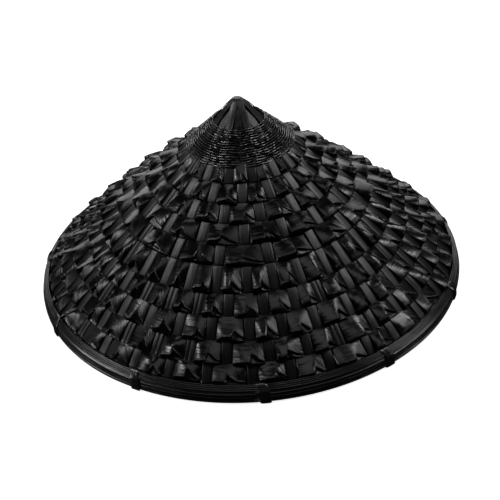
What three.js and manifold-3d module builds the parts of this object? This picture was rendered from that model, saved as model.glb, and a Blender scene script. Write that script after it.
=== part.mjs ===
import * as THREE from 'three';
import { mergeVertices } from 'three/addons/utils/BufferGeometryUtils.js';
import Module from 'manifold-3d';

// Conical hat of split bamboo, lacquered black. Sizes are in millimetres, +Z is up, and the hat stands on
// its rim as it would be laid down. The origin is on the ground under the tip. The front faces -Y, and
// angles round the hat are in degrees from there towards +X.

// The woven wall
const COLUMNS = 68; // stakes round the brim, one column of the weave each
const STAKE_PHASE = -2.2; // angle of column 0
const WALL_HEIGHT = 2.9; // the 2.2 mm wall, measured straight up through its slope
const WALL_INSET = 1.5; // the same wall, measured level at the lower edge of a row
const PUFF_LIFT = 7.8; // how far a strip's folded puff stands over the stakes, straight up
const PUFF_SHOULDER = 5.4; // the same, one column away from the middle of a wide puff
const PUFF_START = 0.3; // the same, at the upper edge of its row
const ROW_STEP = 0.7; // level distance that the drop below a row of puffs takes
const BODY_TOP_RADIUS = 44; // the opening under the cap

// Outer face of the stakes, from the cap to the rim
const STAKE_FACE = [
  { radius: 44, height: 147.8 },
  { radius: 58, height: 133.6 },
  { radius: 88, height: 110.0 },
  { radius: 122, height: 82.4 },
  { radius: 156, height: 53.4 },
  { radius: 185, height: 27.0 },
  { radius: 200, height: 12.4 },
];

// Rows of the weave from the cap down. stakeEvery and firstStake say which columns show a stake on top.
const ROWS = [
  { upper: 60.5, lower: 75.3, stakeEvery: 4, firstStake: 0 },
  { upper: 75.3, lower: 90.5, stakeEvery: 4, firstStake: 2 },
  { upper: 90.5, lower: 105.6, stakeEvery: 4, firstStake: 0 },
  { upper: 105.6, lower: 120.7, stakeEvery: 4, firstStake: 2 },
  { upper: 120.7, lower: 140.2, stakeEvery: 2, firstStake: 0 },
  { upper: 140.2, lower: 155.8, stakeEvery: 2, firstStake: 1 },
  { upper: 155.8, lower: 171.6, stakeEvery: 2, firstStake: 0 },
  { upper: 171.6, lower: 186.4, stakeEvery: 2, firstStake: 1 },
  { upper: 186.4, lower: 199.2, stakeEvery: 2, firstStake: 0 },
];

// The wall's edge, which runs down between the hoops, leaning out like them
const EDGE_OUTER = [
  { radius: 205.5, height: 8.0 },
  { radius: 206.5, height: 3.0 },
];
const EDGE_INNER = [
  { radius: 203.3, height: 6.6 },
  { radius: 204.3, height: 3.0 },
];

// The twined cap
const CAP_SEGMENTS = 34;
const CAP_WALL = [
  { radius: 27, outer: 165.8, inner: 164.3 },
  { radius: 37, outer: 156.9, inner: 154.9 },
  { radius: 46, outer: 148.9, inner: 146.9 },
  { radius: 52, outer: 143.5, inner: 141.4 },
];

// Splints that cross at the tip: two layers of arms, the second between the arms of the first
const SPLINT_ARMS = 8;
const SPLINT_WIDTH = 8.5;
const SPLINT_THICKNESS = 0.9; // measured straight up
const SPLINT_LAYER_DROP = 1.9; // from the upper layer down to the lower
const SPLINT_END_RADIUS = 35;
const UPPER_SPLINT_PHASE = 20; // angle of the first arm
const LOWER_SPLINT_PHASE = -2.5;
const SPLINT_FACE = [
  { radius: 0, height: 188.9 },
  { radius: 5.5, height: 187.1 },
  { radius: 12, height: 180.7 },
  { radius: 27, height: 163.5 },
  { radius: SPLINT_END_RADIUS, height: 155.6 },
];
// Radii of the stations along an arm: in its middle, where its edge leaves the cap, and where two arms part
const SPLINT_STATIONS = [
  { arm: SPLINT_END_RADIUS, shoulder: 27, crotch: 11.1 },
  { arm: 27, shoulder: 25, crotch: 10.4 },
  { arm: 12, shoulder: 11.5, crotch: 9 },
  { arm: 5.5, shoulder: 5.5, crotch: 5.5 },
  { arm: 0, shoulder: 0, crotch: 0 },
];

// The rim: hoops, reeds and the ties round them
const FOOT_HEIGHT = 1.1; // underside of the hoops, over the ties' flat undersides
const RIM_RADIUS = 209.9;
const OUTER_HOOP = { inner: 206.9, outer: RIM_RADIUS, bottom: 4.4, top: 11.8, edge: 0.7, lean: 1.8 };
const LOWER_STRIP = { inner: 207.2, outer: RIM_RADIUS, bottom: FOOT_HEIGHT, top: 4.1, edge: 0.6, lean: 0 };
const INNER_HOOP = { inner: 201.4, outer: 203.1, bottom: FOOT_HEIGHT, top: 6.2, edge: 0.5, lean: 0 };
const REED_COUNT = 4;
const REED_RIDGE = 0.45; // how far each reed's back stands over the grooves beside it
const REED_OUTER = { radius: 207.7, height: 12.2 }; // lower end of the slanted run of reeds
const REED_INNER = { radius: 203.6, height: 15.6 }; // its upper end
const REED_BASE = [
  { radius: 202.6, height: 15.1 },
  { radius: 202.6, height: 11.0 },
  { radius: 204.6, height: 9.3 },
  { radius: 204.7, height: 12.2 },
];

const TIE_COUNT = 11;
const TIE_PHASE = 0.5; // angle of the tie at the front
const TIE_WIDTH = 8.8;
// Each tie is a flat strip bent round the rim: its inner and its outer face, from the foot of the hoops
const TIE_PATH = [
  { innerRadius: 200.8, innerHeight: 0.8, outerRadius: 200.0, outerHeight: 0 },
  { innerRadius: 210.2, innerHeight: 0.8, outerRadius: 211.0, outerHeight: 0 },
  { innerRadius: 210.2, innerHeight: 5.2, outerRadius: 211.0, outerHeight: 5.3 },
  { innerRadius: 208.7, innerHeight: 12.2, outerRadius: 209.5, outerHeight: 12.5 },
  { innerRadius: 208.0, innerHeight: 13.0, outerRadius: 208.4, outerHeight: 13.8 },
  { innerRadius: 203.9, innerHeight: 16.5, outerRadius: 204.1, outerHeight: 17.3 },
  { innerRadius: 202.1, innerHeight: 15.8, outerRadius: 201.5, outerHeight: 16.5 },
  { innerRadius: 200.8, innerHeight: 9.5, outerRadius: 200.0, outerHeight: 9.6 },
];
// The slit between the stakes that lets a tie through the wall
const SLIT = { inner: 199.7, outer: 201.9, bottom: 5.5, top: 14.5, width: TIE_WIDTH + 0.8 };

const weaveMaterial = new THREE.MeshStandardMaterial({ color: 0x17171a, roughness: 0.38, metalness: 0 });
const capMaterial = new THREE.MeshStandardMaterial({ color: 0x1b1b1d, roughness: 0.45, metalness: 0 });
const splintMaterial = new THREE.MeshStandardMaterial({ color: 0x202022, roughness: 0.36, metalness: 0 });
const rimMaterial = new THREE.MeshStandardMaterial({ color: 0x1c1c1e, roughness: 0.4, metalness: 0 });
const tieMaterial = new THREE.MeshStandardMaterial({ color: 0x232325, roughness: 0.34, metalness: 0 });

const wasm = await Module();
wasm.setup();

const radians = THREE.MathUtils.degToRad;

// Height read from a table of radii, straight between its rows.
function heightAt(table, radius, column = 'height') {
  const last = table.findIndex((row) => row.radius >= radius);
  const high = table[Math.max(last, 1)];
  const low = table[Math.max(last, 1) - 1];
  const part = (radius - low.radius) / (high.radius - low.radius);
  return THREE.MathUtils.lerp(low[column], high[column], part);
}

// A closed solid from one closed section of [radius, height] points at each angle. Points on the axis
// are shared by every section.
function solidFromSections(angles, sections) {
  const positions = [];
  const index = [];
  const ids = sections.map(() => []);
  sections[0].forEach(([poleRadius, poleHeight], k) => {
    const pole = positions.length / 3;
    if (poleRadius === 0) positions.push(0, 0, poleHeight);
    sections.forEach((section, j) => {
      if (poleRadius === 0) {
        ids[j][k] = pole;
        return;
      }
      const [radius, height] = section[k];
      const angle = radians(angles[j]);
      ids[j][k] = positions.length / 3;
      positions.push(radius * Math.sin(angle), -radius * Math.cos(angle), height);
    });
  });
  const count = sections[0].length;
  for (let j = 0; j < sections.length; j++) {
    const here = ids[j];
    const next = ids[(j + 1) % sections.length];
    for (let k = 0; k < count; k++) {
      const up = (k + 1) % count;
      if (here[k] !== next[k]) index.push(here[k], next[k], next[up]);
      if (here[up] !== next[up]) index.push(here[k], next[up], here[up]);
    }
  }
  const geometry = new THREE.BufferGeometry();
  geometry.setAttribute('position', new THREE.Float32BufferAttribute(positions, 3));
  geometry.setIndex(index);
  return geometry;
}

// How far the weave stands over the stakes at the lower edge of a row, in one column.
function puffLift(row, column) {
  const fromStake = (column - row.firstStake + COLUMNS) % row.stakeEvery;
  const nearest = Math.min(fromStake, row.stakeEvery - fromStake);
  if (nearest === 0) return 0;
  return nearest === row.stakeEvery / 2 ? PUFF_LIFT : PUFF_SHOULDER;
}

// Section of the woven wall in one column, from its bottom edge up the outside and down the inside.
function wallSection(column) {
  const outer = [[BODY_TOP_RADIUS, heightAt(STAKE_FACE, BODY_TOP_RADIUS)]];
  const inner = [[BODY_TOP_RADIUS, heightAt(STAKE_FACE, BODY_TOP_RADIUS) - WALL_HEIGHT]];
  for (const row of ROWS) {
    const lift = puffLift(row, column);
    const upper = row.upper + ROW_STEP;
    const start = lift > 0 ? PUFF_START : 0;
    outer.push([upper, heightAt(STAKE_FACE, upper) + start]);
    outer.push([row.lower, heightAt(STAKE_FACE, row.lower) + lift]);
    inner.push([upper - WALL_INSET, heightAt(STAKE_FACE, upper) + start - WALL_HEIGHT]);
    inner.push([row.lower - WALL_INSET, heightAt(STAKE_FACE, row.lower) + lift - WALL_HEIGHT]);
  }
  const foot = ROWS[ROWS.length - 1].lower + ROW_STEP;
  outer.push([foot, heightAt(STAKE_FACE, foot)]);
  inner.push([foot - WALL_INSET, heightAt(STAKE_FACE, foot) - WALL_HEIGHT]);
  outer.push(...EDGE_OUTER.map(({ radius, height }) => [radius, height]));
  inner.push(...EDGE_INNER.map(({ radius, height }) => [radius, height]));
  return [...outer.reverse(), ...inner];
}

// A geometry as a solid that can be cut, and back again.
function toSolid(geometry) {
  const plain = geometry.clone();
  plain.deleteAttribute('normal');
  plain.deleteAttribute('uv');
  const merged = mergeVertices(plain);
  return new wasm.Manifold(
    new wasm.Mesh({
      numProp: 3,
      vertProperties: new Float32Array(merged.attributes.position.array),
      triVerts: new Uint32Array(merged.index.array),
    }),
  );
}

function fromSolid(solid) {
  const mesh = solid.getMesh();
  const geometry = new THREE.BufferGeometry();
  geometry.setAttribute('position', new THREE.BufferAttribute(mesh.vertProperties, mesh.numProp));
  geometry.setIndex(new THREE.BufferAttribute(mesh.triVerts, 1));
  return geometry;
}

const tieAngles = Array.from({ length: TIE_COUNT }, (_, i) => TIE_PHASE + (i * 360) / TIE_COUNT);

function wovenBody() {
  const columns = Array.from({ length: COLUMNS }, (_, j) => j);
  const angles = columns.map((j) => STAKE_PHASE + (j * 360) / COLUMNS);
  let wall = toSolid(solidFromSections(angles, columns.map(wallSection)));
  for (const angle of tieAngles) {
    const slit = new THREE.BoxGeometry(SLIT.outer - SLIT.inner, SLIT.width, SLIT.top - SLIT.bottom);
    slit.translate((SLIT.inner + SLIT.outer) / 2, 0, (SLIT.bottom + SLIT.top) / 2);
    slit.rotateZ(radians(angle - 90));
    wall = wall.subtract(toSolid(slit));
  }
  return fromSolid(wall);
}

// A ring turned round the hat's axis from a closed outline of [radius, height] points.
function turned(outline, segments) {
  const points = [...outline, outline[0]].map(([radius, height]) => new THREE.Vector2(radius, height));
  return new THREE.LatheGeometry(points, segments, radians(STAKE_PHASE)).rotateX(Math.PI / 2);
}

// A hoop of split cane whose upper edge leans in towards the hat.
function hoop({ inner, outer, bottom, top, edge, lean }) {
  return turned(
    [
      [inner, bottom],
      [outer - edge, bottom],
      [outer, bottom + edge],
      [outer - lean, top - edge],
      [outer - lean - edge, top],
      [inner - lean, top],
    ],
    COLUMNS,
  );
}

// The slanted run of reeds on top of the rim, with a ridge along each reed.
function reeds() {
  const runRadius = REED_INNER.radius - REED_OUTER.radius;
  const runHeight = REED_INNER.height - REED_OUTER.height;
  const run = Math.hypot(runRadius, runHeight);
  const outline = [...REED_BASE].map(({ radius, height }) => [radius, height]);
  for (let step = 0; step <= 2 * REED_COUNT; step++) {
    const part = step / (2 * REED_COUNT);
    const ridge = step % 2 === 1 ? REED_RIDGE : 0;
    outline.push([
      REED_OUTER.radius + part * runRadius + (ridge * runHeight) / run,
      REED_OUTER.height + part * runHeight - (ridge * runRadius) / run,
    ]);
  }
  return turned(outline, COLUMNS);
}

function twinedCap() {
  const outer = CAP_WALL.map((row) => [row.radius, row.outer]).reverse();
  const inner = CAP_WALL.map((row) => [row.radius, row.inner]);
  return turned([...outer, ...inner], CAP_SEGMENTS);
}

// One layer of arms that cross at the tip. An arm has parallel edges, which meet its neighbours' at the crotch.
function splintLayer(phase, drop) {
  const pitch = 360 / SPLINT_ARMS;
  const [ends] = SPLINT_STATIONS;
  const halfAngle = (radius) => THREE.MathUtils.radToDeg(Math.asin(SPLINT_WIDTH / 2 / radius));
  const face = (radius) => heightAt(SPLINT_FACE, radius) - drop;
  const angles = [];
  const sections = [];
  for (let arm = 0; arm < SPLINT_ARMS; arm++) {
    for (const { offset, station } of [
      { offset: -halfAngle(ends.shoulder), station: 'shoulder' },
      { offset: -halfAngle(ends.arm), station: 'arm' },
      { offset: halfAngle(ends.arm), station: 'arm' },
      { offset: halfAngle(ends.shoulder), station: 'shoulder' },
      { offset: pitch / 2, station: 'crotch' },
    ]) {
      const radii = SPLINT_STATIONS.map((row) => row[station]);
      const outer = radii.map((radius) => [radius, face(radius)]);
      const inner = radii.map((radius) => [radius, face(radius) - SPLINT_THICKNESS]).reverse();
      angles.push(phase + arm * pitch + offset);
      sections.push([...outer, ...inner]);
    }
  }
  return solidFromSections(angles, sections);
}

function tie() {
  const strip = new THREE.Shape(TIE_PATH.map((p) => new THREE.Vector2(p.outerRadius, p.outerHeight)));
  strip.holes.push(new THREE.Path(TIE_PATH.map((p) => new THREE.Vector2(p.innerRadius, p.innerHeight))));
  const geometry = new THREE.ExtrudeGeometry(strip, { depth: TIE_WIDTH, bevelEnabled: false });
  return geometry.translate(0, 0, -TIE_WIDTH / 2).rotateX(Math.PI / 2);
}

const hat = new THREE.Group();

function add(name, geometry, material, parent = hat) {
  const mesh = new THREE.Mesh(geometry, material);
  mesh.name = name;
  parent.add(mesh);
  return mesh;
}

const crown = new THREE.Group();
hat.add(crown);
add('woven_body', wovenBody(), weaveMaterial);
add('twined_cap', twinedCap(), capMaterial, crown);
add('upper_splints', splintLayer(UPPER_SPLINT_PHASE, 0), splintMaterial, crown);
add('lower_splints', splintLayer(LOWER_SPLINT_PHASE, SPLINT_LAYER_DROP), splintMaterial, crown);

const rim = new THREE.Group();
hat.add(rim);
add('rim_outer_hoop', hoop(OUTER_HOOP), rimMaterial, rim);
add('rim_lower_strip', hoop(LOWER_STRIP), rimMaterial, rim);
add('rim_inner_hoop', hoop(INNER_HOOP), rimMaterial, rim);
add('rim_reeds', reeds(), rimMaterial, rim);
tieAngles.forEach((angle, i) => {
  const name = `rim_tie_${String(i + 1).padStart(2, '0')}`;
  add(name, tie(), tieMaterial, rim).rotation.z = radians(angle - 90);
});

export default hat;
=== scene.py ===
# Conical hat of split bamboo, lacquered black, standing on its rim on a white table.
# The dictionaries are in millimetres and degrees. Angles round the hat start at the front (-Y) towards +X.
import math
import bpy
import numpy as np
from mathutils import Matrix, Vector


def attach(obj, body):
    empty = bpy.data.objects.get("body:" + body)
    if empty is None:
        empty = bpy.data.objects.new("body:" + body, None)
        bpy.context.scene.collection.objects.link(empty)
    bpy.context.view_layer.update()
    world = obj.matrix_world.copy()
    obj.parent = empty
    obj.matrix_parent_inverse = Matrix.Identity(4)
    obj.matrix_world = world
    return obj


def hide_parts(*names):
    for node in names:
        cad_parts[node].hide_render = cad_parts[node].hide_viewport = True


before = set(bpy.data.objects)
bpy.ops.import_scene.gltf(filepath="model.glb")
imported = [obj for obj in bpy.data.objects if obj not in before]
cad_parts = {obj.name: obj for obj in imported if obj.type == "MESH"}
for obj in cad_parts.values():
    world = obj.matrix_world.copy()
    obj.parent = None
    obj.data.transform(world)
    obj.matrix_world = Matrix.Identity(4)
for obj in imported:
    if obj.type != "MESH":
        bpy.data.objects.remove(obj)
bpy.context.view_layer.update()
mm = 0.001
tiny = 1e-12  # keeps a division away from zero
dice = np.random.default_rng(32)
grainStart = {"along": 900, "across": 400}  # the fibres of each strip start somewhere up to here
print("frame loaded:", len(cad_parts), "solids")


# Small helpers for nodes and meshes

def linearFromHex(code):
    # sRGB hex to the linear colour that a shader takes
    parts = [int(code[i:i + 2], 16) / 255 for i in (1, 3, 5)]
    return [p / 12.92 if p <= 0.04045 else ((p + 0.055) / 1.055) ** 2.4 for p in parts] + [1.0]


def addNode(tree, kind, settings=None, links=None):
    node = tree.nodes.new(kind)
    for name, value in (settings or {}).items():
        if hasattr(node, name):
            setattr(node, name, value)
        else:
            node.inputs[name].default_value = value
    for name, (source, output) in (links or {}).items():
        tree.links.new(source.outputs[output], node.inputs[name])
    return node


def smoothStep(value, low, high):
    part = np.clip((value - low) / (high - low), 0, 1)
    return part * part * (3 - 2 * part)


def roundTheHat(turn, radius, height):
    # points at angles round the hat, in radians from the front towards +X
    return np.stack(np.broadcast_arrays(radius * np.sin(turn), -radius * np.cos(turn), height), axis=-1)


def roundAndRound(angle, knots):
    # a value that wanders round the hat and closes on itself
    return np.interp(angle, np.linspace(0, 360, len(knots) + 1), np.append(knots, knots[0]))


def lengthAlong(path):
    # distance from the start of a flat line of points
    return np.concatenate([[0], np.cumsum(np.hypot(*np.diff(path, axis=0).T))])


def fibreUv(along, across):
    return np.stack(np.broadcast_arrays(along, across), axis=-1)


def gridFaces(countU, countV, closedU=False, closedV=False):
    # quads of one sheet of points, as indices into countU x countV
    i, j = np.meshgrid(np.arange(countU if closedU else countU - 1),
                       np.arange(countV if closedV else countV - 1), indexing="ij")
    i, j = i.ravel(), j.ravel()
    i2, j2 = (i + 1) % countU, (j + 1) % countV
    return np.stack([i * countV + j, i2 * countV + j, i2 * countV + j2, i * countV + j2], axis=1)


def shell(points, uv, thickness, closedU=False):
    # a strip with two faces and real edges, from the grid of its outer face
    countU, countV = points.shape[:2]
    if closedU:
        alongU = np.roll(points, -1, axis=0) - np.roll(points, 1, axis=0)
    else:
        alongU = np.gradient(points, axis=0)
    normal = np.cross(alongU, np.gradient(points, axis=1))
    normal /= np.linalg.norm(normal, axis=2, keepdims=True) + tiny
    inner = points - normal * thickness
    outerFaces = gridFaces(countU, countV, closedU)
    count = countU * countV
    faces = [outerFaces, outerFaces[:, ::-1] + count]
    i = np.arange(countU if closedU else countU - 1)
    for j in (0, countV - 1):
        near, far = i * countV + j, (i + 1) % countU * countV + j
        edge = np.stack([far, near, near + count, far + count], axis=1)
        faces.append(edge if j == 0 else edge[:, ::-1])
    if not closedU:
        for i in (0, countU - 1):
            near = i * countV + np.arange(countV - 1)
            edge = np.stack([near, near + 1, near + 1 + count, near + count], axis=1)
            faces.append(edge if i == 0 else edge[:, ::-1])
    verts = np.concatenate([points.reshape(-1, 3), inner.reshape(-1, 3)])
    uvs = np.concatenate([uv.reshape(-1, 2), uv.reshape(-1, 2)])
    return verts, np.concatenate(faces), uvs


def tube(points, uv):
    # a closed loop of closed sections, such as a reed bent round the rim
    faces = gridFaces(points.shape[0], points.shape[1], True, True)
    return points.reshape(-1, 3), faces, uv.reshape(-1, 2)


def makePiece(name, parts, material, nodes, sharpAngle=48):
    verts, faces, uvs, start = [], [], [], 0
    for partVerts, partFaces, partUvs in parts:
        verts.append(partVerts)
        faces.append(partFaces + start)
        uvs.append(partUvs)
        start += len(partVerts)
    verts, faces, uvs = np.concatenate(verts), np.concatenate(faces), np.concatenate(uvs)
    mesh = bpy.data.meshes.new(name)
    mesh.from_pydata((verts * mm).tolist(), [], faces.tolist())
    layer = mesh.uv_layers.new(name="fibre")
    layer.data.foreach_set("uv", uvs[faces.ravel()].astype(np.float32).ravel())
    mesh.polygons.foreach_set("use_smooth", np.ones(len(faces), bool))
    mesh.set_sharp_from_angle(angle=math.radians(sharpAngle))
    mesh.materials.append(material)
    mesh.update()
    piece = bpy.data.objects.new(name, mesh)
    bpy.context.scene.collection.objects.link(piece)
    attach(piece, "root")
    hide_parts(*nodes)
    print("made", name, "with", 2 * len(faces), "triangles")


# Materials. The fibre UV is in millimetres: u runs along the bamboo, v across it.
# Real fibres are about 0.3 mm wide. In every material they are drawn coarser, so that they show.
lacquer = {
    # pattern, detail and roughness of its noise: broad streaks, fine fibres, and the warp of the skin
    "noises": [("streak", 3.0, 0.6), ("fibre", 2.0, 0.5), ("warp", 1.0, 0.4)],
    "fibreShare": 0.45,  # the rest is streaks
    "tonePlaces": (0.36, 0.68),  # where the dark and the light colour are reached
    "glossFrom": 0.3, "glossTo": 0.7,
    "blotchScale": 38.0,  # for each metre: dull marks about 26 mm across
    "blotchDetail": 3.0, "blotchFrom": 0.45, "blotchTo": 0.75,
}


def lacqueredBamboo(name, look):
    material = bpy.data.materials.new(name)
    material.use_nodes = True
    tree = material.node_tree
    tree.nodes.clear()
    uvNode = addNode(tree, "ShaderNodeUVMap", {"uv_map": "fibre"})
    noise = {}
    for pattern, detail, noiseRoughness in lacquer["noises"]:
        scale = (1 / look[pattern + "Length"], 1 / look[pattern + "Width"], 1)
        place = addNode(tree, "ShaderNodeMapping", {"Scale": scale}, {"Vector": (uvNode, "UV")})
        noise[pattern] = addNode(tree, "ShaderNodeTexNoise",
                                 {"Scale": 1.0, "Detail": detail, "Roughness": noiseRoughness},
                                 {"Vector": (place, "Vector")})
    streaks = addNode(tree, "ShaderNodeMix", {"data_type": "FLOAT", "Factor": lacquer["fibreShare"]},
                      {"A": (noise["streak"], "Fac"), "B": (noise["fibre"], "Fac")})
    tone = addNode(tree, "ShaderNodeValToRGB", None, {"Fac": (streaks, "Result")})
    for stop, place, code in zip(tone.color_ramp.elements, lacquer["tonePlaces"], look["colours"]):
        stop.position = place
        stop.color = linearFromHex(code)
    # glossier and duller along the streaks, with dull marks over them
    gloss = addNode(tree, "ShaderNodeMapRange",
                    {"From Min": lacquer["glossFrom"], "From Max": lacquer["glossTo"],
                     "To Min": look["roughness"][0], "To Max": look["roughness"][1]},
                    {"Value": (streaks, "Result")})
    surface = addNode(tree, "ShaderNodeTexCoord")
    blotch = addNode(tree, "ShaderNodeTexNoise",
                     {"Scale": lacquer["blotchScale"], "Detail": lacquer["blotchDetail"]},
                     {"Vector": (surface, "Object")})
    dull = addNode(tree, "ShaderNodeMapRange",
                   {"From Min": lacquer["blotchFrom"], "From Max": lacquer["blotchTo"],
                    "To Min": 0.0, "To Max": look["dulling"]},
                   {"Value": (blotch, "Fac")})
    rough = addNode(tree, "ShaderNodeMath", {"operation": "ADD"}, {0: (gloss, "Result"), 1: (dull, "Result")})
    warp = addNode(tree, "ShaderNodeBump", {"Strength": 1.0, "Distance": look["warpDepth"] * mm},
                   {"Height": (noise["warp"], "Fac")})
    bump = addNode(tree, "ShaderNodeBump", {"Strength": look["bump"], "Distance": look["bumpDepth"] * mm},
                   {"Height": (streaks, "Result"), "Normal": (warp, "Normal")})
    shader = addNode(tree, "ShaderNodeBsdfPrincipled",
                     {"IOR": look["ior"], "Metallic": 0.0, "Specular IOR Level": look["specular"]},
                     {"Base Color": (tone, "Color"), "Roughness": (rough, "Value"),
                      "Normal": (bump, "Normal")})
    addNode(tree, "ShaderNodeOutputMaterial", None, {"Surface": (shader, "BSDF")})
    return material


# Split bamboo strips, dyed and lacquered black: glossy skin, its shine broken up by fine lengthwise fibres
stripLacquer = lacqueredBamboo("lacqueredBambooStrip", {
    "colours": ("#030303", "#0b0b0b"), "roughness": (0.09, 0.26), "dulling": 0.08,
    "ior": 1.5, "specular": 0.38,
    "streakLength": 140, "streakWidth": 1.5, "fibreLength": 90, "fibreWidth": 0.7,
    "bump": 0.5, "bumpDepth": 0.8, "warpLength": 18, "warpWidth": 10, "warpDepth": 1.0})
# Stakes, the outer skin of the cane: flatter and more even than the strips
stakeLacquer = lacqueredBamboo("lacqueredBambooStake", {
    "colours": ("#040404", "#0c0c0c"), "roughness": (0.26, 0.38), "dulling": 0.08,
    "ior": 1.5, "specular": 0.58,
    "streakLength": 90, "streakWidth": 1.9, "fibreLength": 60, "fibreWidth": 0.7,
    "bump": 0.5, "bumpDepth": 0.7, "warpLength": 30, "warpWidth": 9, "warpDepth": 0.8})
# Fine twining of thin split weavers: satin, with a dull bloom where the lacquer is thin
twiningLacquer = lacqueredBamboo("lacqueredBambooTwining", {
    "colours": ("#040404", "#151515"), "roughness": (0.11, 0.28), "dulling": 0.10,
    "ior": 1.5, "specular": 0.95,
    "streakLength": 40, "streakWidth": 0.9, "fibreLength": 20, "fibreWidth": 0.4,
    "bump": 0.30, "bumpDepth": 0.3, "warpLength": 6, "warpWidth": 3, "warpDepth": 0.8})
# Hoops round the rim: satin, scuffed along their length by handling
rimLacquer = lacqueredBamboo("lacqueredBambooRim", {
    "colours": ("#040404", "#0f0f0f"), "roughness": (0.20, 0.36), "dulling": 0.10,
    "ior": 1.5, "specular": 0.95,
    "streakLength": 160, "streakWidth": 1.1, "fibreLength": 90, "fibreWidth": 0.5,
    "bump": 0.45, "bumpDepth": 0.6, "warpLength": 60, "warpWidth": 6, "warpDepth": 1.0})
# Reeds round the top of the rim: whole round canes, glossier than the split hoops
reedLacquer = lacqueredBamboo("lacqueredBambooReed", {
    "colours": ("#040404", "#0f0f0f"), "roughness": (0.15, 0.28), "dulling": 0.06,
    "ior": 1.5, "specular": 0.7,
    "streakLength": 120, "streakWidth": 1.3, "fibreLength": 60, "fibreWidth": 0.6,
    "bump": 0.3, "bumpDepth": 0.4, "warpLength": 40, "warpWidth": 6, "warpDepth": 0.6})
# Tie strips: the lacquer is thickest on their bends, which shine
tieLacquer = lacqueredBamboo("lacqueredBambooTie", {
    "colours": ("#0c0c0c", "#222222"), "roughness": (0.17, 0.30), "dulling": 0.05,
    "ior": 1.52, "specular": 0.95,
    "streakLength": 50, "streakWidth": 1.4, "fibreLength": 30, "fibreWidth": 0.6,
    "bump": 0.35, "bumpDepth": 0.5, "warpLength": 9, "warpWidth": 6, "warpDepth": 1.5})
# Lining cone and ribs under the twining: painted shade, a dull black darker than the lacquer, so that the
# gaps between the weavers stay dark
paintedShadeMatt = lacqueredBamboo("paintedShadeMattBlack", {
    "colours": ("#020202", "#060606"), "roughness": (0.60, 0.75), "dulling": 0.05,
    "ior": 1.5, "specular": 0.15,
    "streakLength": 60, "streakWidth": 2.0, "fibreLength": 30, "fibreWidth": 0.8,
    "bump": 0.3, "bumpDepth": 0.3, "warpLength": 20, "warpWidth": 9, "warpDepth": 0.5})
print("materials made")

# The cone that the weave is laid on
cone = {
    "columns": 68, "phase": -2.2, "wander": 0.55,  # stake angles wander a little, as a hand lays them
    "top": 38, "bottom": 200, "step": 0.5, "smoothing": 9,
    # outer face of the stakes: radius and height
    "face": [(38, 154.0), (44, 147.8), (58, 133.6), (88, 110.0), (122, 82.4), (156, 53.4), (185, 27.0),
             (200, 12.4)],
}
faceRadius = np.arange(cone["top"], cone["bottom"] + cone["step"], cone["step"])
faceHeight = np.interp(faceRadius, *np.array(cone["face"]).T)
wing = cone["smoothing"]
padded = np.concatenate([faceHeight[0] + (faceHeight[0] - faceHeight[wing:0:-1]), faceHeight,
                         faceHeight[-1] - (faceHeight[-2:-wing - 2:-1] - faceHeight[-1])])
faceHeight = np.convolve(padded, np.ones(2 * wing + 1) / (2 * wing + 1), "valid")
faceSlope = np.arctan(-np.gradient(faceHeight, faceRadius))


def onCone(angle, radius, lift):
    # a point at a height over the stakes' face, measured square to the cone
    slope = np.interp(radius, faceRadius, faceSlope)
    past = np.minimum(cone["bottom"] - radius, 0)
    height = np.interp(radius, faceRadius, faceHeight) + past * np.tan(faceSlope[-1])
    outward = radius + lift * np.sin(slope)
    return roundTheHat(np.radians(angle), outward, height + lift * np.cos(slope))


evenAngle = cone["phase"] + np.arange(cone["columns"]) * 360 / cone["columns"]
stakeAngle = evenAngle + dice.normal(0, cone["wander"], cone["columns"])

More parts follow.
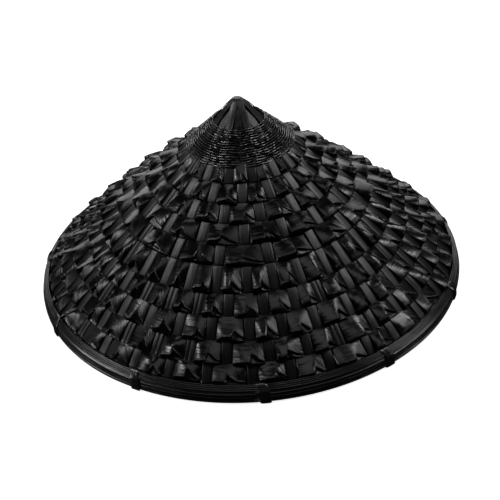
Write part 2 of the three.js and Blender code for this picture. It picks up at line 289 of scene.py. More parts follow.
# Rows of folded strip, from the cap down. A puff is measured in parts: across it from -1 at the left stake
# to 1 at the right one, down it from 0 at the row's upper radius to 1 at the lower one.
weave = {
    # name, upper and lower radius, columns between two stakes on top, the first of them, height of the puffs
    "rows": [
        ("tucked", 47.0, 60.8, 4, 2, 5.0), ("one", 60.5, 75.3, 4, 0, 7.8), ("two", 75.3, 90.5, 4, 2, 8.0),
        ("three", 90.5, 105.6, 4, 0, 8.0), ("four", 105.6, 120.7, 4, 2, 8.0),
        ("five", 120.7, 140.2, 2, 0, 8.0), ("six", 140.2, 155.8, 2, 1, 7.8),
        ("seven", 155.8, 171.6, 2, 0, 7.8), ("eight", 171.6, 186.4, 2, 1, 7.6),
        ("nine", 186.4, 199.2, 2, 0, 7.2),
    ],
    "stripThickness": 0.5, "stripWidth": 27, "stakeHalfWidth": 4.0, "gap": 0.1, "sharpAngle": 24,
    "underStake": -1.2, "underFade": 8,  # the strip dips under the stakes, within an eighth of the puff
    # points across a puff, closest at the ridge and at the edges
    "acrossPlaces": [-1.0, -0.97, -0.93, -0.86, -0.72, -0.56, -0.42, -0.28, -0.15, -0.06, 0.0, 0.06, 0.15,
                     0.28, 0.42, 0.56, 0.72, 0.86, 0.93, 0.97, 1.0],
    # points down a puff, in steps between the ten control points
    "alongSteps": [0, 0.5, 1, 1.5, 2, 2.5, 2.82, 3, 3.18, 3.6, 4, 4.4, 4.85, 5, 5.15, 5.5, 5.85, 6, 6.15, 6.5,
                   7, 7.5, 7.85, 8, 8.15, 8.5, 9],
    "softness": [0.5, 0.5, 0.9, 0.7, 0.6, 0.1, 0.4, 0.8, 0.2, 0.3],
    # place and height across a round puff and across a boxy one: the right side is a flat flap
    "roundFlanks": [(-1.0, -0.16), (-0.97, 0.20), (-0.93, 0.38), (-0.84, 0.54), (-0.66, 0.71), (-0.40, 0.87),
                    (-0.06, 1.0), (0.05, 1.0), (0.14, 0.96), (0.36, 0.80), (0.62, 0.60), (0.90, 0.36),
                    (0.955, 0.24), (1.0, -0.16)],
    "boxyFlanks": [(-1.0, -0.16), (-0.97, 0.34), (-0.93, 0.66), (-0.84, 0.80), (-0.66, 0.88), (-0.40, 0.95),
                   (-0.06, 1.0), (0.05, 1.0), (0.14, 0.98), (0.36, 0.90), (0.62, 0.78), (0.90, 0.58),
                   (0.955, 0.42), (1.0, -0.16)],
    # towards the sides and the back, between these angles, the puffs turn boxier, more even and higher
    "boxyFrom": (60, 110), "boxy": (0, 0.85), "boxyAtSide": 0.6, "calmAtSide": 0.6,
    "height": (0.74, 1.14), "heightFade": 0.7, "heightAtSide": 0.8,
    "ridge": (-0.02, 0.15), "ridgeFade": 1.5,  # middle and spread of the ridge's place
    "bulgeLeft": (0.6, 1.6), "bulgeRight": (0.75, 1.35), "tilt": 0.14,
    "leftSlope": (-0.05, 0.25), "rightSlope": (0.05, 0.3), "slopeMiddle": 0.5,
    "slide": 0.45, "slideFade": 4, "sway": (-0.05, 0.05),
    # the bulge grows down the row to its crest
    "crest": 0.90, "crestWander": 0.03, "crestBand": 0.10, "crestPart": 0.4,
    "swell": (0.62, 1.1), "swellStart": 0.10, "swellAtSide": 0.3,
    # the pleat's free edge falls from the ridge to the right end, and the strip goes back in under it
    "pleatAtRidge": 0.50, "pleatAtEnd": 0.93, "pleatWander": (-0.12, 0.14), "pleatFrom": (-0.12, 0.06),
    "pleatWidth": 0.12, "pleatDepth": (0.08, 0.18), "pleatRise": 1.08, "under": (0.4, 0.72),
    "reach": (0.7, 1.0), "reachPower": 0.9, "fibreFall": 0.5,  # the fibres of the flap run down to the right
    # down the row: start under the row above, belly, steps from the crest or the pleat to the lip, turned in
    "startAbove": -0.2, "startRise": -0.12, "belly": 0.4, "crestSteps": (0.3, 0.65), "pleatStep": 0.5,
    "turnIn": 0.14,
    "lip": (0.06, 0.50), "lipWander": 0.06, "lipFall": (0.2, 0.5), "lipBack": 0.4, "lipIn": 0.15,
    "lowerEdge": 1.02, "arch": (0.0, 0.08),
}


def bend(controls, softness, steps):
    # a smooth line through the control points; where the softness is low it turns sharply
    tangents = np.zeros_like(controls)
    tangents[:, 1:-1] = (controls[:, 2:] - controls[:, :-2]) / 2
    tangents[:, 0] = controls[:, 1] - controls[:, 0]
    tangents[:, -1] = controls[:, -1] - controls[:, -2]
    tangents *= softness[:, :, None]
    k = np.minimum(steps.astype(int), controls.shape[1] - 2)
    f = (steps - k)[None, :, None]
    return (controls[:, k] * (2 * f ** 3 - 3 * f ** 2 + 1) + tangents[:, k] * (f ** 3 - 2 * f ** 2 + f)
            + controls[:, k + 1] * (3 * f ** 2 - 2 * f ** 3) + tangents[:, k + 1] * (f ** 3 - f ** 2))


def foldedRow(upper, lower, every, first, puffHeight):
    # one strip plaited once round the hat, folded into a puff between each two stakes that lie on it
    tops = np.arange(first, cone["columns"], every)
    columns, columnUvs = [], []
    flankPlace, roundHeight = np.array(weave["roundFlanks"]).T
    boxyHeight = np.array(weave["boxyFlanks"])[:, 1]
    steps = np.array(weave["alongSteps"])
    band, start = weave["crestBand"], weave["swellStart"]
    along = 0.0
    for k, left in enumerate(tops):
        right = tops[(k + 1) % len(tops)]
        angleLeft, angleRight = stakeAngle[left], stakeAngle[right] + (360 if right <= left else 0)
        middle, half = (angleLeft + angleRight) / 2, (angleRight - angleLeft) / 2
        halfWidth = (upper + lower) / 2 * math.radians(half)
        visible = halfWidth - weave["stakeHalfWidth"] - weave["gap"]
        places = np.concatenate([[-halfWidth / visible], weave["acrossPlaces"]])
        inside = np.clip(1 - np.abs(places), 0, 1)
        turned = smoothStep(abs((middle + 180) % 360 - 180), *weave["boxyFrom"])
        calm = 1 - weave["calmAtSide"] * turned

        # height across the puff
        ridge = dice.normal(*weave["ridge"])
        shifted = places - ridge * np.minimum(inside * weave["ridgeFade"], 1)
        boxy = min(dice.uniform(*weave["boxy"]) + weave["boxyAtSide"] * turned, 1)
        flank = np.interp(shifted, flankPlace, roundHeight + boxy * (boxyHeight - roundHeight))
        bulge = np.where(shifted < 0, dice.uniform(*weave["bulgeLeft"]), dice.uniform(*weave["bulgeRight"]))
        flank = np.where(flank > 0, np.maximum(flank, 0) ** bulge, flank)
        flank = flank * (1 + calm * dice.normal(0, weave["tilt"]) * places)
        height = puffHeight * ((1 - weave["heightFade"] * turned) * dice.uniform(*weave["height"])
                               + weave["heightAtSide"] * turned)

        # this puff's own pleat, crest, lip and lower edge
        reach = np.clip(shifted / dice.uniform(*weave["reach"]), 0, 1) ** weave["reachPower"]
        pleatLow = weave["pleatAtRidge"] + dice.uniform(*weave["pleatWander"])
        pleatFrom = ridge + dice.uniform(*weave["pleatFrom"])
        pleatDepth = dice.uniform(*weave["pleatDepth"])
        under = dice.uniform(*weave["under"])
        crest = weave["crest"] + dice.normal(0, weave["crestWander"])
        swell = dice.uniform(*weave["swell"]) * (1 + weave["swellAtSide"] * turned)
        shift = dice.normal(0, weave["slide"]) * np.minimum(inside * weave["slideFade"], 1)
        pleat = smoothStep(places, pleatFrom, pleatFrom + weave["pleatWidth"])
        lipHeight, lipShare = weave["lip"]
        lip = np.minimum(flank, lipHeight + (lipShare + dice.normal(0, weave["lipWander"])) * flank)
        edge = weave["lowerEdge"] - dice.uniform(*weave["arch"]) * np.maximum(flank, 0) ** 2
        one = np.ones(len(places))
        free = pleatLow + (weave["pleatAtEnd"] - pleatLow) * reach

        # down the puff: under the row above, out to the crest or the pleat's edge, to the lip and back in
        sections = []
        for folds, low in ((False, crest * one), (True, free)):
            firstStep, secondStep = weave["crestSteps"]
            behind = -pleatDepth if folds else firstStep * (edge - low)
            nearLip = weave["pleatStep"] if folds else secondStep
            down = [weave["startAbove"] * one, 0 * one, weave["belly"] * low, low - band,
                    low - weave["crestPart"] * band, low, low + behind, low + nearLip * (edge - low),
                    edge, edge - weave["turnIn"]]
            grown = [start + (1 - start) * np.clip(t / crest, 0, 1) ** swell for t in down]
            rise = [np.minimum(flank, g * np.maximum(flank, 0) + np.minimum(flank, 0)) for g in grown]
            # 5 is the crest or the pleat's edge, 8 the lip, 9 the strip turned in under it
            rise[0], rise[8], rise[9] = weave["startRise"] * one, lip, weave["lipBack"] * lip - weave["lipIn"]
            if folds:
                rise[5] = np.minimum(flank, rise[5] * weave["pleatRise"])
                rise[6] = np.minimum(rise[6], rise[5] * under)
                rise[7] = np.minimum(rise[7], flank * under)
            else:
                rise[6], rise[7] = [rise[5] + part * (lip - rise[5]) for part in weave["lipFall"]]
            sections.append(np.array([down, rise]).transpose(2, 1, 0))
        plain, folded = sections
        controls = plain + (folded - plain) * pleat[:, None, None]
        slope = np.where(places < ridge, dice.normal(*weave["leftSlope"]), dice.normal(*weave["rightSlope"]))
        controls[:, :, 1] *= 1 + calm * slope[:, None] * (controls[:, :, 0] - weave["slopeMiddle"])
        section = bend(controls, np.tile(weave["softness"], (len(places), 1)), steps)

        # laid on the cone
        dip = weave["underStake"] * np.clip(1 - weave["underFade"] * inside, 0, 1)
        lift = section[:, :, 1] * height + dip[:, None]
        radius = upper + section[:, :, 0] * (lower - upper) + shift[:, None]
        sway = dice.uniform(*weave["sway"]) * inside[:, None] * section[:, :, 0]
        angle = middle + (places[:, None] * visible / halfWidth + sway) * half
        columns.append(onCone(angle, radius, lift))
        fall = weave["fibreFall"] * np.clip(places - pleatFrom, 0, 1) * visible
        across = steps / steps[-1] * weave["stripWidth"] + dice.uniform(0, grainStart["across"])
        lengthwise = along + places * visible + dice.uniform(0, grainStart["along"])
        columnUvs.append(fibreUv(lengthwise[:, None], across[None, :] - fall[:, None]))
        along += 2 * halfWidth
    return shell(np.concatenate(columns), np.concatenate(columnUvs), weave["stripThickness"], closedU=True)


for rowName, upper, lower, every, first, puffHeight in weave["rows"]:
    makePiece("foldedRow_" + rowName, [foldedRow(upper, lower, every, first, puffHeight)],
              stripLacquer, ["woven_body"], weave["sharpAngle"])
print("folded rows plaited")

# Stakes: flat strips that run down the cone, over one row and under the next, and into the rim
stakes = {
    "halfWidth": 4.0, "thickness": 0.7, "sharpAngle": 30,
    "across": [-1.0, -0.9, -0.78, 0.0, 0.78, 0.9, 1.0], "edgeDrop": [0.42, 0.12, 0.0, 0.0, 0.0, 0.12, 0.42],
    # places down each row, with the lift where the stake lies over it and where it goes under
    "rowSteps": [0.0, 0.05, 0.13, 0.5, 0.88, 0.97],
    "overLift": [-0.2, 1.0, 1.2, 1.3, 1.3, 1.1],
    "underLift": [-0.3, -1.0, -1.6, -1.9, -1.6, -1.0],
    "splitGap": 0.05,  # some stakes have split lengthwise: their column, and where across it
    "splitOnes": {5: 0.5, 11: 0.4, 22: 0.5, 39: 0.5, 52: 0.45, 58: 0.5, 61: 0.55, 63: 0.5, 65: 0.45},
    "lowerStart": 120,  # every second stake starts below this radius, the others under the cap
    "capStart": (46, -1.0), "end": (199.6, -0.3),  # radius and lift
    "edge": [(203.0, 10.3), (205.0, 7.8), (205.4, 6.6), (205.9, 3.4)],  # down between the hoops
}


def stake(column, part):
    # part is the share of the width that this strip takes
    profile = [] if column % 2 else [stakes["capStart"]]
    rowOne = weave["rows"][1][1]  # the tucked row above it ends under it
    for _, upper, lower, every, first, _ in weave["rows"]:
        if column % 2 and upper < stakes["lowerStart"]:
            continue
        over = (column - first) % every == 0
        for step, high, low in zip(stakes["rowSteps"], stakes["overLift"], stakes["underLift"]):
            if upper == rowOne and step == 0.0:
                continue
            bottom = min(lower, rowOne) if upper < rowOne else lower
            profile.append((upper + step * (bottom - upper), high if over else low))
    radii, lifts = np.array(profile + [stakes["end"]]).T
    across = 2 * (part[0] + (part[1] - part[0]) * (np.array(stakes["across"]) + 1) / 2) - 1
    path = np.concatenate([onCone(0 * radii, radii, lifts)[:, 1:] * (-1, 1), stakes["edge"]])
    runOut, high = path.T
    width = stakes["halfWidth"]
    turn = np.radians(stakeAngle[column]) + across[None, :] * width / runOut[:, None]
    points = roundTheHat(turn, runOut[:, None], high[:, None] - np.array(stakes["edgeDrop"])[None, :])
    uv = fibreUv(lengthAlong(path)[:, None] + dice.uniform(0, grainStart["along"]),
                 (across * width + dice.uniform(0, grainStart["across"]))[None, :])
    return shell(points[:, ::-1], uv[:, ::-1], stakes["thickness"])


for pieceName, firstColumn in (("stakes_long", 0), ("stakes_short", 1)):
    strips = []
    for column in range(firstColumn, cone["columns"], 2):
        cut = stakes["splitOnes"].get(column)
        parts = [(0.0, cut - stakes["splitGap"]), (cut + stakes["splitGap"], 1.0)] if cut else [(0.0, 1.0)]
        for part in parts:
            strips.append(stake(column, part))
    makePiece(pieceName, strips, stakeLacquer, ["woven_body"], stakes["sharpAngle"])
print("stakes laid")

# Twined cap: rounds of fine weaver that dip under twelve ribs
cap = {
    "face": [(20, 171.5), (27, 165.2), (37, 156.2), (46, 148.2), (55, 140.1), (60, 135.5)], "slope": 42,
    "rounds": 16, "firstRadius": 24.8, "lastRadius": 51.2, "halfHeight": 0.62, "halfThickness": 0.74,
    "thickRounds": 3, "thicker": 0.18, "thickWander": 0.05,  # the last rounds are the thickest
    "wave": 1.25, "stepsPerRib": 24, "sides": 8, "grainRadius": 0.9,
    # spread and number of knots round the hat, then how much of the wobble goes outwards and upwards
    "wobble": (0.12, 32), "drift": (3.0, 24), "wobbleOut": 0.8, "wobbleUp": 0.5,
    # lowest, highest and number of the dips' depths; they are deepest at the front rib
    "depths": (0.15, 0.65, 48), "frontPlaces": [-2, -1, 0, 1, 2], "frontDepth": 1.05,
    "ribs": 12, "ribThickness": 0.5, "ribLift": -1.25, "ribRings": 10, "ribPoints": 5,
    "ribPast": (-3.5, -0.4),  # where a rib starts and ends, from the first round and the last
    "ribWidthAt": [27, 55], "ribHalfWidth": [0.7, 1.1], "frontRibHalfWidth": [1.4, 2.2],
    "ribGrain": (1.4, 50, 3),  # along the slope, from rib to rib, across
    # plain cone under the cap and the splints, a dark sheet that paints the shade in the gaps of the twining
    # and between the splints: radius and height
    "lining": [(1.5, 181.6), (5, 180.4), (8, 178.0), (12, 174.4), (20, 166.2), (24, 163.2), (27, 160.8),
               (37, 152.6), (46, 144.6), (54, 137.4)],
    "liningStep": 5, "liningThickness": 0.5, "liningGrain": (40, 1.4),
}
capRadius, capHeight = np.array(cap["face"]).T
capSlope = math.radians(cap["slope"])


def onCap(angle, radius, lift):
    height = np.interp(radius, capRadius, capHeight)
    outward = radius + lift * math.sin(capSlope)
    return roundTheHat(np.radians(angle), outward, height + lift * math.cos(capSlope))


def weaver(index):
    steps = cap["ribs"] * cap["stepsPerRib"]
    angle = np.arange(steps) * 360 / steps
    radius = cap["firstRadius"] + (cap["lastRadius"] - cap["firstRadius"]) * index / (cap["rounds"] - 1)
    thick = 1.0 + (cap["thicker"] if index >= cap["rounds"] - cap["thickRounds"] else 0)
    thick += dice.normal(0, cap["thickWander"])
    wobble = roundAndRound(angle, dice.normal(0, *cap["wobble"]))
    drift = roundAndRound(angle, dice.normal(0, *cap["drift"]))
    depths = dice.uniform(*cap["depths"])
    depths[cap["frontPlaces"]] = cap["frontDepth"]
    swing = np.cos(np.radians(angle + drift) * cap["ribs"])
    lift = -cap["wave"] * roundAndRound(angle, depths) * swing + wobble * cap["wobbleUp"]
    ring = np.linspace(0, 2 * math.pi, cap["sides"], endpoint=False) + math.pi / cap["sides"]
    slide = cap["halfHeight"] * thick * np.cos(ring) * math.cos(capSlope)
    raised = cap["halfThickness"] * thick * np.sin(ring)
    points = onCap(angle[:, None], radius + slide[None, :] + cap["wobbleOut"] * wobble[:, None],
                   lift[:, None] + raised[None, :])
    uv = fibreUv(np.radians(angle)[:, None] * radius + dice.uniform(0, grainStart["along"]),
                 (ring * cap["grainRadius"] + dice.uniform(0, grainStart["across"]))[None, :])
    return tube(points[:, ::-1], uv[:, ::-1])


def rib(index):
    pastTop, pastBottom = cap["ribPast"]
    radius = np.linspace(cap["firstRadius"] + pastTop, cap["lastRadius"] + pastBottom, cap["ribRings"])
    across = np.linspace(-1, 1, cap["ribPoints"])
    width = np.interp(radius, cap["ribWidthAt"], cap["ribHalfWidth"] if index else cap["frontRibHalfWidth"])
    angle = index * 360 / cap["ribs"] + np.degrees(across[None, :] * width[:, None] / radius[:, None])
    points = onCap(angle, radius[:, None], cap["ribLift"])
    grainAlong, grainRib, grainAcross = cap["ribGrain"]
    uv = fibreUv(radius[:, None] * grainAlong + index * grainRib, across[None, :] * grainAcross)
    return shell(points[:, ::-1], uv[:, ::-1], cap["ribThickness"])


makePiece("twined_rounds", [weaver(k) for k in range(cap["rounds"])], twiningLacquer, ["twined_cap"])
# the ribs take the painted-shade black, so that they stay dark between the rounds
makePiece("cap_ribs", [rib(k) for k in range(cap["ribs"])], paintedShadeMatt, ["twined_cap"])
# a dark cone under the cap and the splints, there to paint the shade in their gaps
liningRadius, liningHeight = np.array(cap["lining"]).T
liningTurn = np.radians(np.arange(0, 360, cap["liningStep"]))[:, None]
liningPoints = roundTheHat(liningTurn, liningRadius, liningHeight)
liningUv = fibreUv(liningTurn * cap["liningGrain"][0], liningRadius[None, :] * cap["liningGrain"][1])
liningShell = shell(liningPoints[:, ::-1], liningUv[:, ::-1], cap["liningThickness"], closedU=True)
makePiece("cap_shade_backing", [liningShell], paintedShadeMatt, ["twined_cap"])
print("cap twined")

# Wide splints that cross at the blunt tip, in two layers
splints = {
    "face": [(0, 188.7), (3.0, 188.5), (5.2, 187.2), (8, 184.6), (12, 180.7), (20, 171.4), (27, 163.9),
             (33, 157.6)],
    "count": 4, "thickness": 0.5, "endRadius": 33, "widthAt": [6, 30], "halfWidth": [3.0, 3.7], "points": 5,
    # points along it: from the end in to a radius, and over the tip from one side to the other
    "armTo": 6, "armPoints": 14, "tipRadius": 5, "tipPoints": 9,
    # angle, depth of each splint near the tip and depth where it goes into the cap
    "layers": [("upper_splints", 20.0, (0.0, 0.0, 0.0, 0.0), 0.0),
               ("lower_splints", -2.5, (3.6, 3.6, 1.0, 3.6), 2.0)],
    "dropAt": [5, 21],
    # the lower layer goes round twice, so that no light shows between its splints: angle and the two depths
    "backing": (-25.0, 4.6, 3.2),
    # at the tip each splint of a layer lies this much under the one before it, in this order
    "stack": 0.22, "order": [1, 0, 2, 3], "stackAt": (4, 14),
    "sag": 0.45, "sagFrom": 9,  # the edges bend down round the cone
    "grain": (7, 20),  # shift of the fibres with the angle and with the order
}
splintRadius, splintHeight = np.array(splints["face"]).T


def splint(angle, tipDrop, drop, order):
    arm = np.linspace(splints["endRadius"], splints["armTo"], splints["armPoints"])
    back = np.linspace(splints["armTo"], splints["endRadius"], splints["armPoints"])
    tip = np.linspace(-splints["tipRadius"], splints["tipRadius"], splints["tipPoints"])
    run = np.concatenate([-arm, tip, back])
    away = np.abs(run)
    across = np.linspace(-1, 1, splints["points"])
    tipNear = 1 - smoothStep(away, *splints["stackAt"])
    high = (np.interp(away, splintRadius, splintHeight) - np.interp(away, splints["dropAt"], [tipDrop, drop])
            - order * splints["stack"] * tipNear)
    side = across[None, :] * np.interp(away, splints["widthAt"], splints["halfWidth"])[:, None]
    sag = side ** 2 / (2 * np.maximum(away, splints["sagFrom"])[:, None]) * splints["sag"]
    turn = math.radians(angle)
    x = run[:, None] * math.sin(turn) + side * math.cos(turn)
    y = -run[:, None] * math.cos(turn) + side * math.sin(turn)
    points = np.stack([x, y, high[:, None] - sag], axis=-1)
    byAngle, byOrder = splints["grain"]
    uv = fibreUv(run[:, None] + angle * byAngle, side + order * byOrder)
    return shell(points, uv, splints["thickness"])


def splintLayer(firstAngle, tipDrops, drop):
    between = 180 / splints["count"]
    return [splint(firstAngle + between * k, tipDrops[k], drop, splints["order"][k])
            for k in range(splints["count"])]


for nodeName, firstAngle, tipDrops, drop in splints["layers"]:
    arms = splintLayer(firstAngle, tipDrops, drop)
    if nodeName == "lower_splints":
        backAngle, backTipDrop, backDrop = splints["backing"]
        arms += splintLayer(backAngle, [backTipDrop] * splints["count"], backDrop)
    makePiece("crossed_" + nodeName, arms, stakeLacquer, [nodeName])
print("splints crossed at the tip")

# Rim: hoop, thin lower strip, four reeds and the wall's edge, each a section turned round the hat
rim = {
    "segments": 272, "knots": 40, "driftUp": 0.6, "grainRadius": 208,
    "hoop": [(206.9, 4.4), (209.3, 4.4), (209.75, 4.8), (209.85, 5.6), (209.6, 6.7), (208.9, 6.95),
             (209.45, 7.25), (209.2, 8.0), (208.8, 9.8), (208.1, 10.1), (208.45, 10.4), (208.1, 11.3),
             (207.5, 11.8), (205.1, 11.8)],
    "lowerStrip": [(207.2, 1.1), (209.3, 1.1), (209.75, 1.4), (209.9, 2.4), (209.75, 3.7), (209.3, 4.1),
                   (207.2, 4.1)],
    "reeds": [(207.35, 12.65), (206.05, 13.75), (204.75, 14.85), (203.45, 15.6)],
    "reedRadius": 0.78, "reedSides": 8, "reedGrain": 70,
    # edge of the wall, pressed between the hoops
    "wallEdge": [(196.5, 13.6), (199.5, 11.6), (203.0, 8.9), (204.9, 7.4), (205.4, 3.3), (204.9, 3.3),
                 (204.4, 6.9), (202.8, 8.2), (199.2, 11.0), (196.2, 13.0)],
    # how far each section wanders as it goes round, and where its fibres start
    "hoopWander": 0.05, "hoopGrain": 40, "stripGrain": 300, "reedWander": 0.12, "edgeGrain": 500,
}


def turnedLoop(outline, wander, grain):
    angle = np.arange(rim["segments"]) * 360 / rim["segments"]
    knots = dice.normal(0, wander, rim["knots"]) if wander else np.zeros(rim["knots"])
    drift = roundAndRound(angle, knots)[:, None]
    outline = np.array(outline)
    turn = np.radians(angle)[:, None]
    points = roundTheHat(turn, outline[None, :, 0] + drift, outline[None, :, 1] + rim["driftUp"] * drift)
    return tube(points, fibreUv(turn * rim["grainRadius"] + grain, lengthAlong(outline)[None, :] + grain))


def reedOutline(centre):
    ring = np.linspace(0, 2 * math.pi, rim["reedSides"], endpoint=False)
    return [(centre[0] + rim["reedRadius"] * math.cos(a), centre[1] + rim["reedRadius"] * math.sin(a))
            for a in ring]


makePiece("outer_hoop", [turnedLoop(rim["hoop"], rim["hoopWander"], rim["hoopGrain"])],
          rimLacquer, ["rim_outer_hoop"])
makePiece("lower_strip", [turnedLoop(rim["lowerStrip"], rim["hoopWander"], rim["stripGrain"])],
          rimLacquer, ["rim_lower_strip"])
makePiece("slanted_reeds", [turnedLoop(reedOutline(centre), rim["reedWander"], rim["reedGrain"] * k)
                            for k, centre in enumerate(rim["reeds"])], reedLacquer, ["rim_reeds"])
makePiece("wall_edge", [turnedLoop(rim["wallEdge"], 0, rim["edgeGrain"])],
          stakeLacquer, ["woven_body"])
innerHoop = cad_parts["rim_inner_hoop"]
for slot in innerHoop.material_slots:
    slot.material = rimLacquer

# Ties: a flat strip bound round the rim at eleven places
ties = {
    "count": 11, "phase": 0.5, "width": 8.8, "thickness": 0.8, "turnRadius": 206,
    "slant": 2.4, "slantFrom": 205, "slantOver": 5,  # slides along the rim by 2.4 mm for each 5 mm outwards
    "loop": [(200.1, 0.1), (205.5, 0.0), (210.6, 0.1), (211.0, 2.6), (210.9, 5.3), (209.7, 11.6),
             (208.9, 13.2), (206.6, 15.4), (204.3, 17.2), (202.3, 16.7), (200.9, 13.5), (200.2, 9.4),
             (200.0, 4.5)],
    "between": (0.0, 0.34, 0.67),  # points of the rounded loop from one corner to the next
    "across": [-1.0, -0.92, -0.5, 0, 0.5, 0.92, 1.0], "edgeIn": [0.28, 0.06, 0.0, 0.0, 0.0, 0.06, 0.28],
    "grain": 11, "innerGrain": 20,  # shift of the fibres with the angle, and on the inner face
}


def tie(angle):
    corner = np.array(ties["loop"])
    count = len(corner)
    fine = []
    for k in range(count):
        a, b, c, d = corner[k - 1], corner[k], corner[(k + 1) % count], corner[(k + 2) % count]
        for f in ties["between"]:
            fine.append(0.5 * (2 * b + (c - a) * f + (2 * a - 5 * b + 4 * c - d) * f ** 2
                               + (3 * b - a - 3 * c + d) * f ** 3))
    fine = np.array(fine)
    fine[:, 1] = np.maximum(fine[:, 1], 0)  # flat on the table
    forward = np.roll(fine, -1, axis=0) - np.roll(fine, 1, axis=0)
    normal = np.stack([forward[:, 1], -forward[:, 0]], axis=1)
    normal /= np.linalg.norm(normal, axis=1, keepdims=True)
    across, edgeIn = np.array(ties["across"]), np.array(ties["edgeIn"])
    halfWidth = ties["width"] / 2
    slide = ties["slant"] * (fine[:, 0] - ties["slantFrom"]) / ties["slantOver"]
    outerFace = [(side, rounding) for side, rounding in zip(across, edgeIn)]
    innerFace = [(side, ties["thickness"] - rounding) for side, rounding in zip(across[::-1], edgeIn[::-1])]
    sections = []
    for side, depth in outerFace + innerFace:
        place = fine - normal * depth
        turn = np.radians(angle) + (side * halfWidth + slide) / ties["turnRadius"]
        sections.append(roundTheHat(turn, place[:, 0], place[:, 1]))
    points = np.stack(sections, axis=1)
    v = np.concatenate([across * halfWidth, across[::-1] * halfWidth + ties["innerGrain"]])
    return tube(points, fibreUv(lengthAlong(fine)[:, None] + angle * ties["grain"], v[None, :]))


for k in range(ties["count"]):
    makePiece(f"tie_{k + 1:02d}", [tie(ties["phase"] + k * 360 / ties["count"])], tieLacquer,
              [f"rim_tie_{k + 1:02d}"])
print("rim bound")

# White table and the lamps round it
studio = {
    # the table runs out to a round white cove: radius and height in metres
    "cove": [(2.4, 0.0), (2.8, 0.04), (3.2, 0.2), (3.5, 0.55), (3.65, 1.1), (3.7, 2.0), (3.7, 3.4)],
    "coveSides": 64, "floorDrop": 0.2, "floorHex": "#f4f4f2", "floorGlow": 0.85, "worldStrength": 0.008,
    "floorRoughness": 0.8, "floorSpecular": 0.2,
    "lampAim": (0, 0, 0.08),  # the point in the hat that every lamp faces, in metres
    # name, direction, distance and sides in metres, power in watts
    "lamps": [("softbox_left", (-0.62, 0.02, 0.78), 1.35, (0.20, 0.20), 1.6),
              ("softbox_right", (0.62, 0.15, 0.77), 1.35, (0.22, 0.22), 1.9),
              ("strip_left", (-0.71, -0.05, 0.70), 1.4, (0.30, 0.65), 2.2),
              ("strip_right", (0.71, -0.05, 0.70), 1.4, (0.30, 0.65), 2.6),
              ("side_left", (-0.85, 0.12, 0.52), 1.5, (0.95, 0.85), 0.9),
              ("side_right", (0.85, 0.12, 0.52), 1.5, (0.95, 0.85), 0.9),
              ("low_left", (-0.95, -0.22, 0.09), 1.2, (0.5, 0.2), 3.6),
              ("low_right", (0.95, -0.22, 0.09), 1.2, (0.5, 0.2), 1.2),
              ("overhead", (0.0, -0.20, 1.0), 1.4, (1.1, 0.5), 1.7),
              ("top_back", (0.0, 0.5, 0.86), 1.8, (0.9, 0.45), 2.1),
              ("backdrop", (0.0, 0.93, 0.37), 2.3, (3.4, 1.2), 24.0),
              ("fill", (0.0, -0.9, 0.4), 1.6, (1.4, 0.8), 0.1)],
}
white = (1, 1, 1, 1)
coveRadius, coveHeight = np.array(studio["cove"]).T
sides, rings = studio["coveSides"], len(coveRadius)
coveTurn = np.linspace(0, 2 * math.pi, sides, endpoint=False)[:, None]
covePoints = np.stack([coveRadius * np.cos(coveTurn), coveRadius * np.sin(coveTurn),
                       coveHeight + 0 * coveTurn], axis=-1)
coveFaces = gridFaces(sides, rings, True)[:, ::-1].tolist()
coveFaces.append(list(range(0, sides * rings, rings)))  # the table itself, inside the first ring
floorMesh = bpy.data.meshes.new("table")
floorMesh.from_pydata(covePoints.reshape(-1, 3).tolist(), [], coveFaces)
floorMesh.polygons.foreach_set("use_smooth", np.ones(len(floorMesh.polygons), bool))
floor = bpy.data.objects.new("table", floorMesh)
floor.location.z = -studio["floorDrop"] * mm
bpy.context.scene.collection.objects.link(floor)
floorMaterial = bpy.data.materials.new("whiteTable")  # matt white laminate, no pattern
floorMaterial.use_nodes = True
floorShader = floorMaterial.node_tree.nodes["Principled BSDF"]
floorShader.inputs["Base Color"].default_value = linearFromHex(studio["floorHex"])
floorShader.inputs["Roughness"].default_value = studio["floorRoughness"]
floorShader.inputs["Specular IOR Level"].default_value = studio["floorSpecular"]
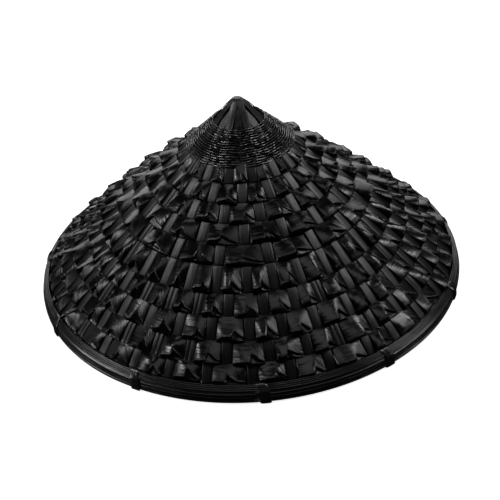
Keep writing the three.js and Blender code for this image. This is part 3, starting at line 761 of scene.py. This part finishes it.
floorShader.inputs["Emission Color"].default_value = white
floorShader.inputs["Emission Strength"].default_value = studio["floorGlow"]
floorMesh.materials.append(floorMaterial)
floor.visible_glossy = False  # the lacquer mirrors the lamps only, not the ground
floor.visible_diffuse = False

world = bpy.data.worlds.new("studioRoom")
world.use_nodes = True
world.node_tree.nodes["Background"].inputs["Color"].default_value = white
world.node_tree.nodes["Background"].inputs["Strength"].default_value = studio["worldStrength"]
bpy.context.scene.world = world

for lampName, direction, distance, lampSides, power in studio["lamps"]:
    lamp = bpy.data.lights.new(lampName, "AREA")
    lamp.shape = "RECTANGLE"
    lamp.size, lamp.size_y = lampSides
    lamp.energy = power
    holder = bpy.data.objects.new(lampName, lamp)
    away = Vector(direction).normalized()
    holder.location = away * distance + Vector(studio["lampAim"])
    holder.rotation_euler = away.to_track_quat("Z", "Y").to_euler()
    bpy.context.scene.collection.objects.link(holder)

# Camera, fitted to the ellipse of the rim
view = {
    "elevation": 34.5, "target": (0.81, 0.0, 16.73), "distance": 1100.0, "roll": -4.534,
    "focalPixels": 1085.68, "framePixels": 500, "sensor": 36.0, "clip": (0.05, 50),  # clip in metres
}
rise, roll = math.radians(view["elevation"]), math.radians(view["roll"])
back = Vector((0, -math.cos(rise), math.sin(rise)))
level = Vector((1, 0, 0))
upright = back.cross(level)
rightAxis = math.cos(roll) * level + math.sin(roll) * upright
upAxis = math.cos(roll) * upright - math.sin(roll) * level
cameraData = bpy.data.cameras.new("camera")
cameraData.sensor_width = view["sensor"]
cameraData.sensor_fit = "HORIZONTAL"
cameraData.lens = view["focalPixels"] / view["framePixels"] * view["sensor"]
cameraData.clip_start, cameraData.clip_end = view["clip"]
camera = bpy.data.objects.new("camera", cameraData)
place = Vector(view["target"]) * mm + back * view["distance"] * mm
camera.matrix_world = Matrix.Translation(place) @ Matrix((rightAxis, upAxis, back)).transposed().to_4x4()
bpy.context.scene.collection.objects.link(camera)
bpy.context.scene.camera = camera
bpy.context.scene.view_settings.view_transform = "Standard"
print("studio and camera set")
